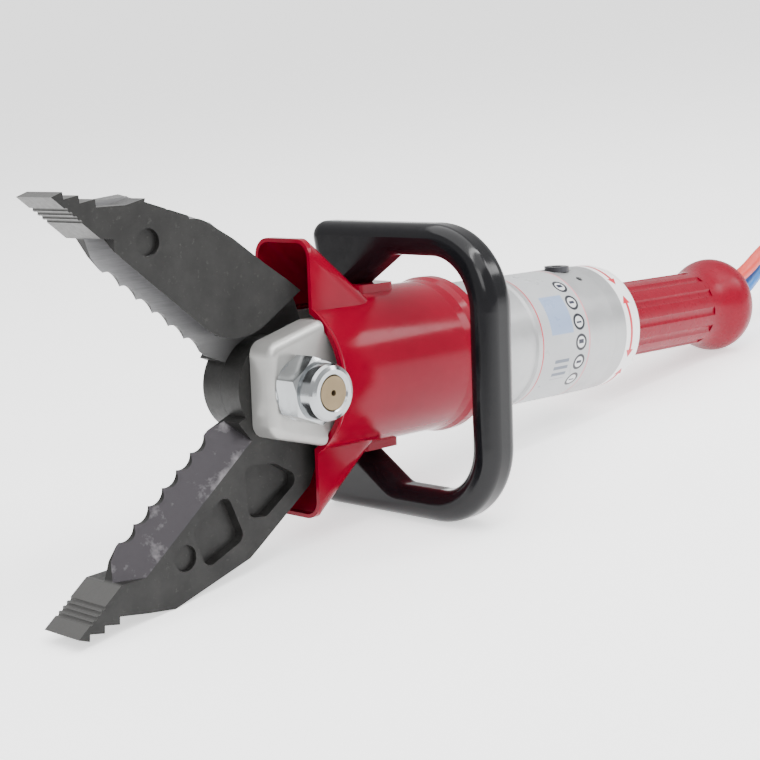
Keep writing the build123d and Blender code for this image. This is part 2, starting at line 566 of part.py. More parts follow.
FLUTE_COUNT = 12
CAVITY_RADIUS = 28.0
with BuildPart() as twist_grip:
    with BuildSketch(Plane.XZ) as grip_profile:
        with BuildLine():
            Polyline((DISC_REAR, STEM_RADIUS + RUN), (DISC_REAR, 34), (GRIP_FRONT + 2, 34),
                     (GRIP_FRONT, GRIP_RADIUS + 1), (-404, GRIP_RADIUS), (-528, GRIP_RADIUS))
            Spline((-528, GRIP_RADIUS), (-545, 35.5), (-560, 41), (-571, FLARE_RADIUS), (-580, 42),
                   (GRIP_REAR, 37), tangents=[(-1, 0), (-0.15, -1)])
            Polyline((GRIP_REAR, 37), (GRIP_REAR, CAVITY_RADIUS), (-556, CAVITY_RADIUS), (-556, 25),
                     (-550, 25), (-550, STEM_RADIUS + RUN), (-536, STEM_RADIUS + RUN), (-536, 25),
                     (-436, 25), (-436, STEM_RADIUS + RUN), (DISC_REAR, STEM_RADIUS + RUN))
        make_face()
    revolve(axis=Axis.X)
    # finger flutes along the grip
    with BuildSketch(station(-410)) as flutes:
        with PolarLocations(GRIP_RADIUS + 5.6, FLUTE_COUNT):
            Circle(7)
    extrude(amount=-122, mode=Mode.SUBTRACT)
    # the room for the return spring
    revolve(tube_section(-398.5, -434, STEM_RADIUS + RUN + 0.1, 25), axis=Axis.X, mode=Mode.SUBTRACT)
twist_grip.part.label = "twist_grip"
write(twist_grip.part)

with BuildPart() as stem_ring:
    revolve(tube_section(-551, -555, STEM_RADIUS, 23.5), axis=Axis.X)
stem_ring.part.label = "stem_ring"
write(stem_ring.part)

FERRULE_RADIUS = 8.5
FERRULE_REAR = -572.0
COVER_FRONT = -562.0
COVER_REAR = -568.0
HOSE_HEIGHTS = {"pressure": 14.0, "return": -4.0}      # of each hose over the tool's axis
for hose, height in HOSE_HEIGHTS.items():
    with BuildPart() as ferrule:
        with Locations(Location((STEM_REAR, 0, height), (0, -90, 0))):
            Cylinder(FERRULE_RADIUS, STEM_REAR - FERRULE_REAR,
                     align=(Align.CENTER, Align.CENTER, Align.MIN))
        chamfer(ferrule.edges().sort_by(Axis.X)[0], length=0.8)
    ferrule.part.label = f"ferrule_{hose}"
    write(ferrule.part)

with BuildPart() as rear_cover:
    with BuildSketch(station(COVER_REAR)):
        Circle(CAVITY_RADIUS - 0.6)
        with Locations([(0, height) for height in HOSE_HEIGHTS.values()]):
            Circle(FERRULE_RADIUS, mode=Mode.SUBTRACT)
    extrude(amount=COVER_FRONT - COVER_REAR)
rear_cover.part.label = "rear_cover"
write(rear_cover.part)

# ---- guard: round shell with two hoods over the blades' heels ------------------------------------
HOOD_REAR = -90.0
HOOD_WALL = 3.0
PAD_TOP = 64.0
PAD_FAR = -40.0
PAD_NEAR = 16.0
HOOD_ROUND = 14.0
with BuildPart() as hood:
    with BuildSketch(across(HOOD_HALF)):
        with BuildLine():
            Polyline((GUARD_FRONT, 0), (GUARD_FRONT, HOOD_HEIGHT), (-34, HOOD_HEIGHT), (HOOD_REAR, 58),
                     (HOOD_REAR, 0), close=True)
        make_face()
    extrude(amount=2 * HOOD_HALF)
    ridges = hood.edges().filter_by(lambda e: e.center().Z > 70 and abs(e.center().Y) > HOOD_HALF - 1)
    fillet(ridges.filter_by(lambda e: e.center().X < GUARD_FRONT - 1), radius=HOOD_ROUND)
with BuildPart() as hood_hollow:
    with BuildSketch(across(HOOD_HALF - HOOD_WALL)):
        with BuildLine():
            Polyline((GUARD_FRONT + 1, 0), (GUARD_FRONT + 1, HOOD_HEIGHT - HOOD_WALL),
                     (-35, HOOD_HEIGHT - HOOD_WALL), (HOOD_REAR + 4, 57), (HOOD_REAR + 4, 0), close=True)
        make_face()
    extrude(amount=2 * (HOOD_HALF - HOOD_WALL))
    ridges = hood_hollow.edges().filter_by(lambda e: e.center().Z > 70 and abs(e.center().Y) > 20)
    fillet(ridges.filter_by(lambda e: e.center().X < GUARD_FRONT), radius=HOOD_ROUND - HOOD_WALL)

with BuildPart() as guard:
    revolve(half_section((GUARD_FRONT, 0), (GUARD_FRONT, GUARD_RADIUS + 1.6),
                         (GUARD_FRONT - 2, GUARD_RADIUS + 1.6), (GUARD_FRONT - 5, GUARD_RADIUS),
                         (-164, GUARD_RADIUS), (-172, GUARD_RADIUS + 0.8), (-178, 62.3),
                         (GUARD_REAR + 1.5, 62.3), (GUARD_REAR, 60.8), (GUARD_REAR, 0)), axis=Axis.X)
    add(hood.part)
    add(hood.part.rotate(Axis.X, 180))
    # the pads that carry the handle
    for top in (PAD_TOP, -PAD_TOP):
        with BuildSketch(deck(top)) as pad:
            with Locations((HANDLE_X, (PAD_FAR + PAD_NEAR) / 2)):
                RectangleRounded(38, PAD_NEAR - PAD_FAR, 5)
        extrude(amount=-top)
    # hollow: the hoods' inside, then the round bore
    add(hood_hollow.part, mode=Mode.SUBTRACT)
    add(hood_hollow.part.rotate(Axis.X, 180), mode=Mode.SUBTRACT)
    with Locations(Location((0, 0, 0), (0, -90, 0))):
        Cylinder(GUARD_INNER, 400, mode=Mode.SUBTRACT)
    # the screw holes at the rear and in the pads
    for angle in (110, 180, 250):
        with Locations(Plane(Location((-149, 0, 0), (angle - 90, 0, 0))).offset(GUARD_RADIUS)):
            Cylinder(3.2, 20, mode=Mode.SUBTRACT)
            Cylinder(5.6, 3.2, mode=Mode.SUBTRACT)
    for x in (HANDLE_X - 9, HANDLE_X + 9):
        with Locations(Location((x, -14, 0), (0, 0, 0))):
            Cylinder(4.2, 160, mode=Mode.SUBTRACT)
guard.part.label = "guard"
write(guard.part)

with BuildPart() as guard_screws:
    for angle in (110, 180, 250):
        with Locations(Plane(Location((-149, 0, 0), (angle - 90, 0, 0))).offset(GUARD_RADIUS - 0.3)):
            Cylinder(5.2, 1.2, align=(Align.CENTER, Align.CENTER, Align.MAX))
            Cylinder(3, 3.1, align=(Align.CENTER, Align.CENTER, Align.MAX))
guard_screws.part.label = "guard_screws"
write(guard_screws.part)

# ---- carrying handle: one closed bow in a plane across the cylinder ------------------------------
INNER_NEAR = HANDLE_NEAR - HANDLE_BAR
INNER_HEIGHT = HANDLE_HALF_HEIGHT - HANDLE_BAR
FOOT_FAR = -36.0
FOOT_NEAR = 4.0
WEB_NEAR = 40.0
with BuildPart() as carry_handle:
    with BuildSketch(station(HANDLE_X - HANDLE_DEPTH / 2)) as bow:
        with BuildLine():
            Polyline((FOOT_FAR, PAD_TOP), (HANDLE_FAR, HANDLE_HALF_HEIGHT),
                     (HANDLE_NEAR, HANDLE_HALF_HEIGHT),
                     (HANDLE_NEAR, -HANDLE_HALF_HEIGHT), (HANDLE_FAR, -HANDLE_HALF_HEIGHT),
                     (FOOT_FAR, -PAD_TOP), (FOOT_NEAR, -PAD_TOP), (WEB_NEAR, -INNER_HEIGHT),
                     (INNER_NEAR, -INNER_HEIGHT), (INNER_NEAR, INNER_HEIGHT), (WEB_NEAR, INNER_HEIGHT),
                     (FOOT_NEAR, PAD_TOP), close=True)
        make_face()
        # here X and Y are the bow's own, along the tool's Y and Z
        fillet(bow.vertices().group_by(Axis.X)[-1], radius=62)
        fillet(bow.vertices().group_by(Axis.X)[0], radius=12)
        fillet(bow.vertices().filter_by(lambda v: abs(v.X - INNER_NEAR) < 0.1 and abs(v.Y) > 80), radius=38)
        fillet(bow.vertices().filter_by(lambda v: abs(v.X - WEB_NEAR) < 0.1), radius=18)
    extrude(amount=HANDLE_DEPTH)
    rims = carry_handle.edges().filter_by(
        lambda e: abs(abs(e.center().X - HANDLE_X) - HANDLE_DEPTH / 2) < 0.01)
    fillet(rims.filter_by(lambda e: abs(e.center().Z) > PAD_TOP + 0.5 or e.center().Y > 20), radius=10.5)
    for x in (HANDLE_X - 9, HANDLE_X + 9):
        with Locations(Location((x, -14, 0), (0, 0, 0))):
            Cylinder(4, 160, mode=Mode.SUBTRACT)
carry_handle.part.label = "carry_handle"
write(carry_handle.part)

with BuildPart() as handle_screws:
    for x in (HANDLE_X - 9, HANDLE_X + 9):
        for up in (1, -1):
            with Locations(Location((x, -14, up * 52.8), (90 - 90 * up, 0, 0))):
                Cylinder(4, 26.5, align=(Align.CENTER, Align.CENTER, Align.MIN))
                Cylinder(6.5, 5.5, align=(Align.CENTER, Align.CENTER, Align.MAX))
handle_screws.part.label = "handle_screws"
write(handle_screws.part)

# ---- hoses and their couplers, drawn where they lie on the floor ---------------------------------
# Each route gives its corners after the straight exit: distance behind the ferrule, sideways from
# it, and height over the floor.
EXIT_RUN = 39.0
BEND_SHARE = 0.45          # of the shorter run, taken up by each bend
HOSE_BORE = 3.2
ROUTES = {
    "pressure": [(113, 3, 84), (181, 15, 86), (285, 36, 11.2), (349, 50, 11.2)],
    "return": [(110, -5, 62), (176, -19, 64), (268, -39, 15.2), (330, -53, 15.2)],
}


def route_points(hose):
    """The hose's corners on the floor's frame, from its ferrule to its coupler."""
    height = HOSE_HEIGHTS[hose]
    start = (LAID_DOWN * Location((FERRULE_REAR, 0, height))).position
    first = (LAID_DOWN * Location((FERRULE_REAR - EXIT_RUN, 0, height))).position
    return [start, first, *[Vector(start.X - back, start.Y + side, up) for back, side, up in ROUTES[hose]]]


def bend_radii(points):
    """The radius at each corner, where the bend takes up its share of the shorter run."""
    radii = []
    for before, corner, after in zip(points, points[1:], points[2:]):
        arriving = corner - before
        leaving = after - corner
        half_turn = radians(arriving.get_angle(leaving) / 2)
        radii.append(BEND_SHARE * min(arriving.length, leaving.length) / tan(half_turn))
    return radii


def coupler_plane(hose):
    """The plane at the hose's end that faces on along it."""
    points = route_points(hose)
    return Plane(origin=points[-1], z_dir=points[-1] - points[-2])


for hose in ROUTES:
    points = route_points(hose)
    radii = bend_radii(points)
    with BuildPart() as hose_tube:
        with BuildLine() as hose_line:
            FilletPolyline(*points, radius=radii)
        with BuildSketch(hose_line.line ^ 0):
            Circle(HOSE_RADIUS)
            Circle(HOSE_BORE, mode=Mode.SUBTRACT)
        sweep(path=hose_line.line)
    hose_tube.part.label = f"hose_{hose}"
    export_step(hose_tube.part, f"parts/hose_{hose}.step")
    print(hose_tube.part.label, "bend radii", [round(radius) for radius in radii],
          "length", round(sum(edge.length for edge in hose_line.edges()), 1),
          "volume", round(hose_tube.part.volume))

COUPLER_CRIMP = 10.0
CRIMP_LENGTH = 24.0
COUPLER_HEX = 11.0
HEX_LENGTH = 10.0
NOSE_RADIUS = 8.6
NOSE_LENGTH = 22.0
SOCKET_RADIUS = 12.0
SOCKET_LENGTH = 32.0
SLEEVE_RADIUS = 15.0
SLEEVE_START = 42.0
SLEEVE_LENGTH = 22.0
FROM_BELOW = (Align.CENTER, Align.CENTER, Align.MIN)


def crimp_and_hexagon():
    """Adds a coupler's crimped tail and its spanner hexagon to the piece being built."""
    Cylinder(COUPLER_CRIMP, CRIMP_LENGTH, align=FROM_BELOW)
    for groove in (6, 12, 18):
        with Locations((0, 0, groove)):
            Cylinder(COUPLER_CRIMP, 1.6, align=FROM_BELOW, mode=Mode.SUBTRACT)
            Cylinder(COUPLER_CRIMP - 0.7, 1.6, align=FROM_BELOW)


with BuildPart(coupler_plane("pressure")) as coupler_male:
    crimp_and_hexagon()
    with BuildSketch(coupler_plane("pressure").offset(CRIMP_LENGTH)):
        RegularPolygon(COUPLER_HEX, 6, major_radius=False)
    extrude(amount=HEX_LENGTH)
    with Locations((0, 0, CRIMP_LENGTH + HEX_LENGTH)):
        Cylinder(NOSE_RADIUS + 1.4, 8, align=FROM_BELOW)
        Cylinder(NOSE_RADIUS, 8 + NOSE_LENGTH, align=FROM_BELOW)
    # the groove for the socket's balls, and the sunk valve face
    with Locations((0, 0, CRIMP_LENGTH + HEX_LENGTH + 16)):
        Cylinder(NOSE_RADIUS + 0.1, 3.4, align=FROM_BELOW, mode=Mode.SUBTRACT)
        Cylinder(NOSE_RADIUS - 1.2, 3.4, align=FROM_BELOW)
    with Locations((0, 0, CRIMP_LENGTH + HEX_LENGTH + 8 + NOSE_LENGTH)):
        Cylinder(5, 3, mode=Mode.SUBTRACT)
coupler_male.part.label = "coupler_male"
export_step(coupler_male.part, "parts/coupler_male.step")

with BuildPart(coupler_plane("return")) as coupler_socket:
    crimp_and_hexagon()
    with BuildSketch(coupler_plane("return").offset(CRIMP_LENGTH)):
        RegularPolygon(COUPLER_HEX + 1, 6, major_radius=False)
    extrude(amount=HEX_LENGTH)
    with Locations((0, 0, CRIMP_LENGTH + HEX_LENGTH)):
        Cylinder(SOCKET_RADIUS, SOCKET_LENGTH, align=FROM_BELOW)
    # the socket that takes the nose
    with Locations((0, 0, CRIMP_LENGTH + HEX_LENGTH + SOCKET_LENGTH)):
        Cylinder(NOSE_RADIUS + RUN, 2 * NOSE_LENGTH, mode=Mode.SUBTRACT)
coupler_socket.part.label = "coupler_socket"
export_step(coupler_socket.part, "parts/coupler_socket.step")

with BuildPart(coupler_plane("return")) as coupler_sleeve:
    with Locations((0, 0, SLEEVE_START)):
        Cylinder(SLEEVE_RADIUS, SLEEVE_LENGTH, align=FROM_BELOW)
    chamfer(coupler_sleeve.edges(), length=1)
    with Locations((0, 0, SLEEVE_START)):
        Cylinder(SOCKET_RADIUS + RUN, SLEEVE_LENGTH, align=FROM_BELOW, mode=Mode.SUBTRACT)
    # grip grooves round the sleeve
    for groove in (5, 9, 13):
        with Locations((0, 0, SLEEVE_START + groove)):
            Cylinder(SLEEVE_RADIUS, 1.6, align=FROM_BELOW, mode=Mode.SUBTRACT)
            Cylinder(SLEEVE_RADIUS - 0.8, 1.6, align=FROM_BELOW)
            Cylinder(SOCKET_RADIUS + RUN, 1.6, align=FROM_BELOW, mode=Mode.SUBTRACT)
coupler_sleeve.part.label = "coupler_sleeve"
export_step(coupler_sleeve.part, "parts/coupler_sleeve.step")
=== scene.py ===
import json
import math
import bpy
from mathutils import Matrix, Vector


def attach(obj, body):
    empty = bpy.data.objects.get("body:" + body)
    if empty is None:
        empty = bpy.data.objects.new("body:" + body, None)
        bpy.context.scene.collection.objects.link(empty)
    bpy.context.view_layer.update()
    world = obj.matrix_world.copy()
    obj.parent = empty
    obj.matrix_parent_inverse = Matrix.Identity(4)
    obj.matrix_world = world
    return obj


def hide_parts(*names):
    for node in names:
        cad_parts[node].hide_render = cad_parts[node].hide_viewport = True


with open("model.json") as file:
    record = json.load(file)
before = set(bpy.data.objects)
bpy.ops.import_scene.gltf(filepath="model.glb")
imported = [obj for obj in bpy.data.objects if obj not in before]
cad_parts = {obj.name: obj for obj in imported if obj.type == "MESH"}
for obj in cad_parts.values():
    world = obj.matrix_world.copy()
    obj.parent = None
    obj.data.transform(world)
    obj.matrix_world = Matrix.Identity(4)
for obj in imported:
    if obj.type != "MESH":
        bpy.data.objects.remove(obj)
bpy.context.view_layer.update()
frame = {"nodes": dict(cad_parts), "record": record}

nodes = frame["nodes"]

# The tool frame: millimetres from the centre of the pivot bolt, x to the blade tips along the
# cylinder's axis, y to the nut, z up. The row frame is that frame, tilted and lifted off the floor.
TILT = math.radians(8.43)
OPEN = math.radians(38.5)
PIVOT = Vector((0.19045, -0.04035, 0.1271))
TURN = Matrix.Rotation(-TILT, 3, "Y")
MM_PER_M = 1000


def place(x, y, z):
    return PIVOT + TURN @ Vector((x, y, z)) / MM_PER_M


# millimetres; the camera's place, back and up are in the tool frame
CAMERA_LENS = 82.86
CAMERA_SENSOR = 36
CAMERA_PLACE = (824.73, 963.14, 192.35)
CAMERA_BACK = (0.6940, 0.7040, 0.1508)
CAMERA_UP = (-0.1313, -0.0830, 0.9879)


# ---- camera ---------------------------------------------------------------------------------------
def aim(thing, at, back, up):
    """Puts a camera or light at a point, looking against back, upright along up."""
    z = back.normalized()
    x = up.cross(z).normalized()
    thing.matrix_world = Matrix.Translation(at) @ Matrix((x, z.cross(x), z)).transposed().to_4x4()


camera_data = bpy.data.cameras.new("camera")
camera_data.lens = CAMERA_LENS
camera_data.sensor_width = CAMERA_SENSOR
camera = bpy.data.objects.new("camera", camera_data)
bpy.context.scene.collection.objects.link(camera)
bpy.context.scene.camera = camera
aim(camera, place(*CAMERA_PLACE), TURN @ Vector(CAMERA_BACK), TURN @ Vector(CAMERA_UP))

# ---- hoses: one smooth line each, through the same corners as their CAD tubes ----------------------
ROUTES = {
    "pressure": [(113, 3, 84), (181, 15, 86), (285, 36, 11.2), (349, 50, 11.2)],
    "return": [(110, -5, 62), (176, -19, 64), (268, -39, 15.2), (330, -53, 15.2)],
}
HOSE_RADIUS = 0.0065
FERRULE_REAR = -572
EXIT_END = -611
HEIGHTS = {"pressure": 14, "return": -4}
hoses = {}
for name, route in ROUTES.items():
    start = place(FERRULE_REAR, 0, HEIGHTS[name])
    corners = [start, place(EXIT_END, 0, HEIGHTS[name])]
    for back, side, up in route:
        corners.append(Vector((start.x - back / MM_PER_M, start.y + side / MM_PER_M, up / MM_PER_M)))
    curve = bpy.data.curves.new("hose_" + name + "_line", "CURVE")
    curve.dimensions = "3D"
    spline = curve.splines.new("NURBS")
    spline.points.add(len(corners) - 1)
    for point, corner in zip(spline.points, corners):
        point.co = (*corner, 1)
        point.radius = HOSE_RADIUS
    spline.order_u = 3
    spline.use_endpoint_u = True
    spline.resolution_u = 24
    curve.bevel_depth = 1
    curve.bevel_resolution = 6
    curve.use_fill_caps = True
    hose = bpy.data.objects.new("hose_" + name + "_soft", curve)
    bpy.context.scene.collection.objects.link(hose)
    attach(hose, "tool_body")
    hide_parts("hose_" + name)
    hoses[name] = hose

# ---- floor and light -------------------------------------------------------------------------------
world = bpy.data.worlds.new("studio")
bpy.context.scene.world = world
world.use_nodes = True
world.node_tree.nodes["Background"].inputs["Color"].default_value = (1, 1, 1, 1)
world.node_tree.nodes["Background"].inputs["Strength"].default_value = 0.9

floor_mesh = bpy.data.meshes.new("floor")
FLOOR_HALF = 40
floor_mesh.from_pydata([(-FLOOR_HALF, -FLOOR_HALF, 0), (FLOOR_HALF, -FLOOR_HALF, 0),
                        (FLOOR_HALF, FLOOR_HALF, 0), (-FLOOR_HALF, FLOOR_HALF, 0)], [], [(0, 1, 2, 3)])
floor = bpy.data.objects.new("floor", floor_mesh)
bpy.context.scene.collection.objects.link(floor)


def lamp(name, at, target, size, power, shape="RECTANGLE", width=None):
    """A soft studio panel at one point that faces another."""
    data = bpy.data.lights.new(name, "AREA")
    data.shape = shape
    data.size = size
    data.size_y = width or size
    data.energy = power
    panel = bpy.data.objects.new(name, data)
    bpy.context.scene.collection.objects.link(panel)
    at, target = Vector(at), Vector(target)
    aim(panel, at, at - target, Vector((0, 0, 1)) if abs((at - target).normalized().z) < 0.99
        else Vector((1, 0, 0)))


lamp("top_panel", (0.0, 0.1, 1.9), (0, 0, 0.1), 3.2, 80, width=2.8)
lamp("key_panel", (1.3, 1.0, 1.2), (0, 0, 0.12), 0.7, 9)
lamp("rear_panel", (-1.2, 0.9, 1.0), (-0.1, 0, 0.12), 0.5, 7)
lamp("strip_panel", (-0.1, 0.35, 0.95), (-0.1, 0, 0.12), 1.3, 6, width=0.1)


# ---- material nodes --------------------------------------------------------------------------------
def link(tree, kind, *values, out=0, **settings):
    """Adds a shader node, sets or links its inputs in order, and gives back one output."""
    made = tree.nodes.new("ShaderNode" + kind)
    for key, value in settings.items():
        setattr(made, key, value)
    for socket, value in zip([s for s in made.inputs if s.enabled], values):
        if isinstance(value, bpy.types.NodeSocket):
            tree.links.new(value, socket)
        elif value is not None:
            socket.default_value = value
    return [s for s in made.outputs if s.enabled][out]


def math_node(tree, operation, a, b=None, c=None):
    return link(tree, "Math", a, b, c, operation=operation)


def fade(tree, value, low, high, to_low=0.0, to_high=1.0):
    """The value, mapped from low..high to to_low..to_high and held at both ends."""
    return link(tree, "MapRange", value, low, high, to_low, to_high)


def mix(tree, factor, a, b):
    """Two colours, mixed by a factor."""
    made = tree.nodes.new("ShaderNodeMix")
    made.data_type = "RGBA"
    for socket, value in ((made.inputs[0], factor), (made.inputs[6], a), (made.inputs[7], b)):
        if isinstance(value, bpy.types.NodeSocket):
            tree.links.new(value, socket)
        elif isinstance(value, tuple):
            socket.default_value = (*value[:3], 1)
        else:
            socket.default_value = value
    return made.outputs[2]


def noise(tree, vector, scale, detail=3.0, rough=0.5):
    return link(tree, "TexNoise", vector, scale, detail, rough)


def blank(name, metallic=0.0, roughness=0.5, specular=0.5, coat=0.0, coat_roughness=0.1):
    """A new material: its tree, its shader, and the object's coordinates and normal."""
    made = bpy.data.materials.new(name)
    made.use_nodes = True
    tree = made.node_tree
    shader = tree.nodes["Principled BSDF"]
    shader.inputs["Metallic"].default_value = metallic
    shader.inputs["Roughness"].default_value = roughness
    shader.inputs["Specular IOR Level"].default_value = specular
    shader.inputs["Coat Weight"].default_value = coat
    shader.inputs["Coat Roughness"].default_value = coat_roughness
    coordinates = tree.nodes.new("ShaderNodeTexCoord")
    return made, tree, shader, coordinates.outputs["Object"], coordinates.outputs["Normal"]


def turned(tree, vector, angle, centre=PIVOT):
    """The point in a frame that is turned about the bolt's axis, from the pivot."""
    return link(tree, "VectorRotate", link(tree, "VectorMath", vector, tuple(centre), operation="SUBTRACT"),
                (0, 0, 0), angle, rotation_type="Y_AXIS")


def split(tree, vector):
    made = tree.nodes.new("ShaderNodeSeparateXYZ")
    tree.links.new(vector, made.inputs[0])
    return made.outputs


def bump(tree, shader, height, distance, strength=1.0):
    """Small relief, in metres, into a shader's normal."""
    made = tree.nodes.new("ShaderNodeBump")
    made.inputs["Strength"].default_value = strength
    made.inputs["Distance"].default_value = distance
    tree.links.new(height, made.inputs["Height"])
    tree.links.new(made.outputs[0], shader.inputs["Normal"])


def simple(name, colour, variation=0.12, scale=60.0, grain=900.0, relief=0.00002, rough=(0.3, 0.45),
           **settings):
    """A finish with mottled colour, uneven roughness and a fine grain."""
    made, tree, shader, point, _ = blank(name, **settings)
    mottle = noise(tree, point, scale, 4.0)
    darker = tuple(c * (1 - variation) for c in colour)
    lighter = tuple(min(1.0, c * (1 + variation)) for c in colour)
    tree.links.new(mix(tree, mottle, darker, lighter), shader.inputs["Base Color"])
    tree.links.new(fade(tree, noise(tree, point, scale * 2.3, 5.0), 0.35, 0.65, *rough),
                   shader.inputs["Roughness"])
    bump(tree, shader, noise(tree, point, grain, 2.0), relief)
    return made


def tool_frame(tree, vector, direction=False):
    """An object-space point as millimetres in the tool frame, or a direction in it."""
    if direction:
        return link(tree, "VectorRotate", vector, (0, 0, 0), TILT, rotation_type="Y_AXIS")
    made = tree.nodes.new("ShaderNodeVectorMath")
    made.operation = "SCALE"
    made.inputs["Scale"].default_value = MM_PER_M
    tree.links.new(turned(tree, vector, TILT), made.inputs[0])
    return made.outputs[0]


def times(tree, *values):
    """The product of several values."""
    total = values[0]
    for value in values[1:]:
        total = math_node(tree, "MULTIPLY", total, value)
    return total


def between(tree, value, low, high, soft):
    """1 between two limits, with soft ends."""
    return times(tree, fade(tree, value, low - soft, low + soft),
                 fade(tree, value, high - soft, high + soft, 1, 0))


# a blade's parts, in millimetres: along it for the first, second and last, and away from the
# closing line or the shear plane for the others
GROUND_SPAN = (20, 120)
BEVEL_START = (36, 44)
BEVEL_TOP = (13, 15)
SHEAR_FACE = 0.6
TIP_START = (186, 189)


def blade_finish():
    """Dark forged sides, ground shear faces, light ground tips, bare backs with a painted reflection, and a
    purple-grey bevel with painted mottled sheen.
    """
    made, tree, shader, point, normal = blank("blade_steel", specular=0.25)
    place_xyz = split(tree, tool_frame(tree, point))
    # the lower blade is the upper one turned over, so both share one frame: along, across and away
    # from the closing line
    side = math_node(tree, "SIGN", place_xyz[2])

    def blade_frame(xyz):
        both = tree.nodes.new("ShaderNodeCombineXYZ")
        turned_over = (xyz[0], times(tree, xyz[1], side), times(tree, xyz[2], side))
        for socket, value in zip(both.inputs, turned_over):
            tree.links.new(value, socket)
        return split(tree, link(tree, "VectorRotate", both.outputs[0], (0, 0, 0), OPEN,
                                rotation_type="Y_AXIS"))

    u, y, v = blade_frame(place_xyz)
    _, normal_y, normal_v = blade_frame(split(tree, tool_frame(tree, normal, True)))
    facing = math_node(tree, "ABSOLUTE", normal_y)
    coarse = noise(tree, point, 38.0, 5.0, 0.6)
    fine = noise(tree, point, 260.0, 4.0, 0.65)
    scratches = tree.nodes.new("ShaderNodeMapping")
    scratches.inputs["Scale"].default_value = (40, 900, 900)
    tree.links.new(tool_frame(tree, point, True), scratches.inputs["Vector"])
    brushed = noise(tree, scratches.outputs[0], 1.0, 4.0, 0.7)
    colour = mix(tree, fade(tree, coarse, 0.3, 0.7), (0.008, 0.0078, 0.0076), (0.019, 0.0187, 0.018))
    colour = mix(tree, fade(tree, fine, 0.6, 0.72, 0, 0.3), colour, (0.065, 0.065, 0.06))
    ground = times(tree, between(tree, y, -SHEAR_FACE, SHEAR_FACE, 0.2), fade(tree, facing, 0.85, 0.95))
    ground_colour = mix(tree, fade(tree, u, *GROUND_SPAN), (0.09, 0.09, 0.088), (0.27, 0.27, 0.275))
    ground_colour = mix(tree, fade(tree, brushed, 0.35, 0.65, 0, 0.35), ground_colour, (0.12, 0.12, 0.125))
    # the backs, facing away from the closing line, are bare metal; their lighter colour is a painted
    # reflection of the white surroundings
    back = fade(tree, normal_v, 0.35, 0.75)
    back_reflection_colour = mix(tree, fade(tree, coarse, 0.35, 0.65), (0.075, 0.075, 0.075), (0.14, 0.14, 0.14))
    # the bevel: a purple-grey tint, with bright mottled patches that are painted sheen
    slope = times(tree, fade(tree, facing, 0.3, 0.42), fade(tree, facing, 0.9, 0.97, 1, 0),
                  fade(tree, v, *BEVEL_TOP, 1, 0), fade(tree, u, *BEVEL_START))
    bevel_tint_and_sheen = mix(tree, fade(tree, coarse, 0.5, 0.7), (0.035, 0.032, 0.036), (0.19, 0.18, 0.19))
    tip = times(tree, fade(tree, u, *TIP_START), fade(tree, facing, 0.6, 0.3))
    for mask, tint in ((ground, ground_colour), (back, back_reflection_colour), (slope, bevel_tint_and_sheen),
                       (tip, (0.085, 0.084, 0.082))):
        colour = mix(tree, mask, colour, tint)
    bare = math_node(tree, "MAXIMUM", math_node(tree, "MAXIMUM", ground, back),
                     math_node(tree, "MAXIMUM", slope, tip))
    tree.links.new(colour, shader.inputs["Base Color"])
    tree.links.new(fade(tree, bare, 0, 1, 0.1, 0.5), shader.inputs["Metallic"])
    tree.links.new(fade(tree, fine, 0.3, 0.7, 0.34, 0.5), shader.inputs["Roughness"])
    bump(tree, shader, math_node(tree, "ADD", fine, brushed), 0.00005)
    return made


def around(tree, point):
    """The distance along the cylinder and the angle about it, alike on both sides of the tool."""
    x, y, z = split(tree, tool_frame(tree, point))
    angle = math_node(tree, "ARCTAN2", z, math_node(tree, "ABSOLUTE", y))
    return x, math_node(tree, "MULTIPLY", angle, 180 / math.pi)


# the label: places along the cylinder in millimetres, angles about it in degrees
PANEL_X, PANEL_ANGLE = (-299, -271), (8, 44)
BARS_X, BARS_ANGLE = (-294, -276), (-34, -12)
PICTOGRAM_X = -308
PICTOGRAM_ANGLES = (53.6, 34.8, 16.4, -1.7, -20, -38.4)
MM_PER_DEGREE = 0.949
# the arrow band
WHITE_FROM = (-370.4, -369.8)
ARROW_X = -377.5
ARROW_MIDDLE = 4
ARROW_PITCH_HALF = 36


